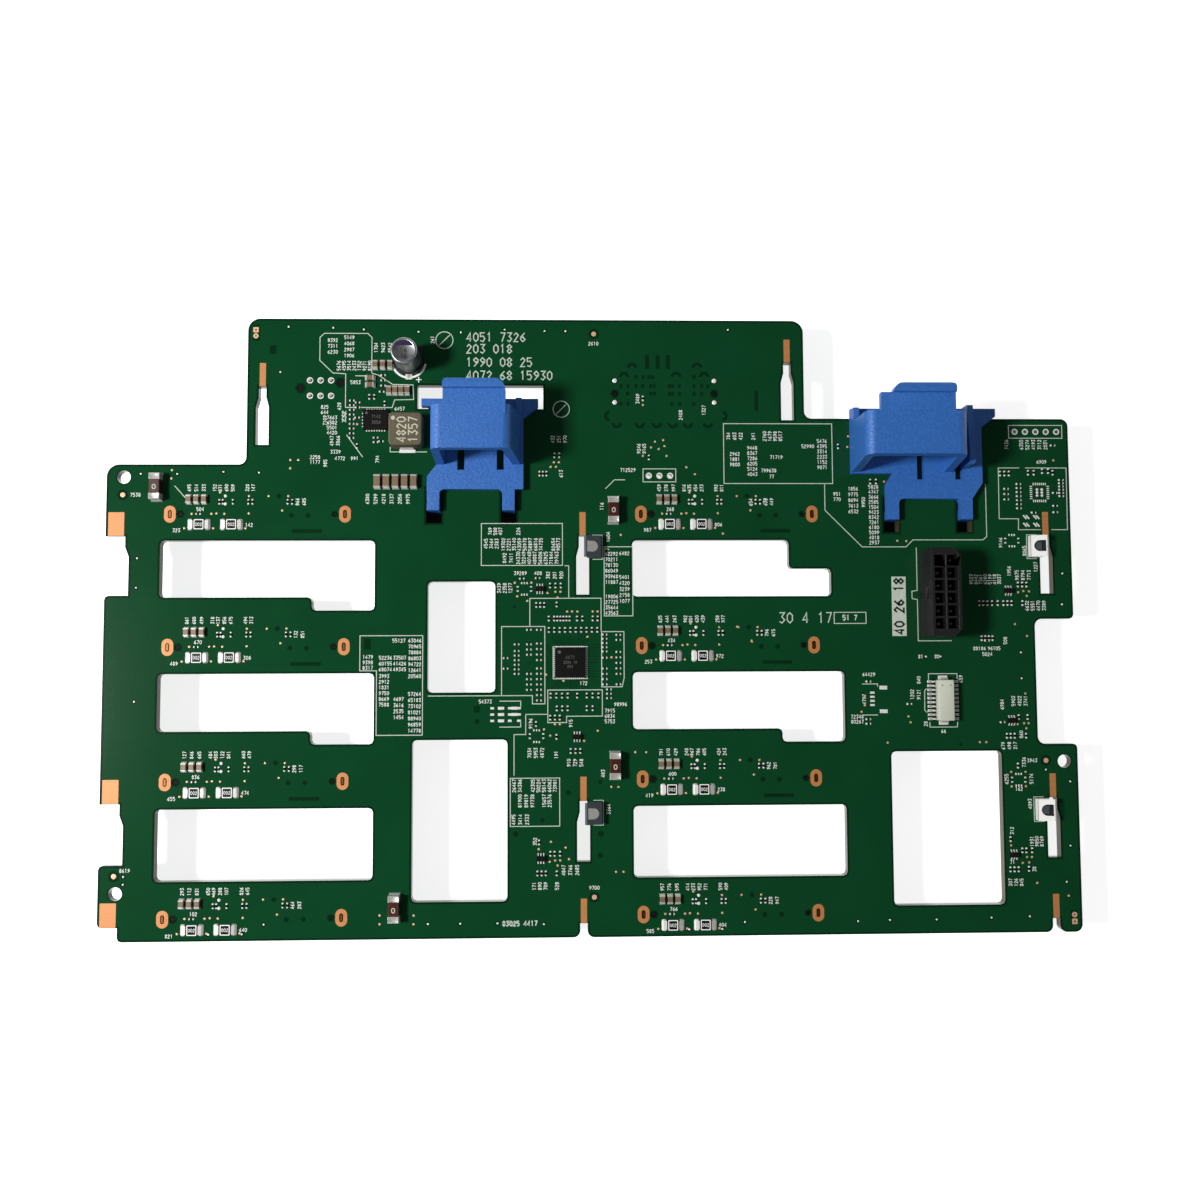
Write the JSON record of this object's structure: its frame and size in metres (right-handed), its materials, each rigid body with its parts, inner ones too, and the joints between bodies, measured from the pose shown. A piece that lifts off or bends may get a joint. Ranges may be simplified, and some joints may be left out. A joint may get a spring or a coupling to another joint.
{
  "type": "drive backplane board",
  "caption": "Flat circuit board with drive connectors on one side, two pull handles, a power header and airflow windows.",
  "frame": {"origin": "below the middle of the board, level with the mating faces of the drive connectors, on which it rests", "axes": "+X along the long side, towards the recessed edge; +Y towards the stepped edge with the handles; +Z out of the handle side"},
  "size_m": [0.2344, 0.1492, 0.0295],
  "materials": {
    "board_laminate": "green solder mask over glass-epoxy laminate, satin gloss",
    "bare_copper": "bare copper lands, satin",
    "solder_tin": "tinned metal, bright",
    "handle_blue": "moulded plastic, fine grain",
    "header_black": "moulded plastic, matt",
    "header_cream": "moulded plastic, matt",
    "chip_black": "moulded epoxy, matt",
    "choke_ferrite": "pressed ferrite compound, matt",
    "can_aluminium": "drawn aluminium, satin",
    "ceramic_brown": "fired ceramic with tinned ends",
    "resistor_black": "glazed, with tinned ends",
    "fuse_brown": "moulded body, matt",
    "spring_steel": "folded spring strip, satin",
    "connector_black": "moulded plastic, matt",
    "contact_gold": "gold flash over copper alloy",
    "print_white": "printed ink, matt"
  },
  "bodies": {
    "root": {"aux_header_housing": "connector_black", "aux_header_pins": "solder_tin", "bay_capacitors": "ceramic_brown", "boardlocks": "solder_tin", "capacitor_base": "header_black", "capacitor_can": "can_aluminium", "capacitor_terminals": "solder_tin", "choke_body": "choke_ferrite", "choke_terminals": "solder_tin", "circuit_board": "board_laminate", "contact_pads": "bare_copper", "controller_chip": "chip_black", "data_connector_body": "connector_black", "data_connector_contacts": "contact_gold", "drive_connector_1": "connector_black", "drive_connector_2": "connector_black", "drive_connector_3": "connector_black", "drive_connector_4": "connector_black", "drive_connector_5": "connector_black", "drive_connector_6": "connector_black", "drive_connector_7": "connector_black", "drive_connector_8": "connector_black", "drive_contacts_1": "contact_gold", "drive_contacts_2": "contact_gold", "drive_contacts_3": "contact_gold", "drive_contacts_4": "contact_gold", "drive_contacts_5": "contact_gold", "drive_contacts_6": "contact_gold", "drive_contacts_7": "contact_gold", "drive_contacts_8": "contact_gold", "fuse_body_1": "fuse_brown", "fuse_body_2": "fuse_brown", "fuse_body_3": "fuse_brown", "fuse_body_4": "fuse_brown", "fuse_caps_1": "solder_tin", "fuse_caps_2": "solder_tin", "fuse_caps_3": "solder_tin", "fuse_caps_4": "solder_tin", "gate_chip_leads": "solder_tin", "gate_chips": "chip_black", "ground_clip_1": "spring_steel", "ground_clip_2": "spring_steel", "ground_clip_3": "spring_steel", "ground_clip_4": "spring_steel", "handle_left": "handle_blue", "handle_right": "handle_blue", "power_header_housing": "header_black", "power_header_pins": "solder_tin", "regulator_chip": "chip_black", "sense_resistors": "resistor_black", "signal_header_body": "header_cream", "signal_header_leads": "solder_tin", "small_chips": "ceramic_brown", "supply_capacitors": "ceramic_brown"}
  },
  "joints": []
}
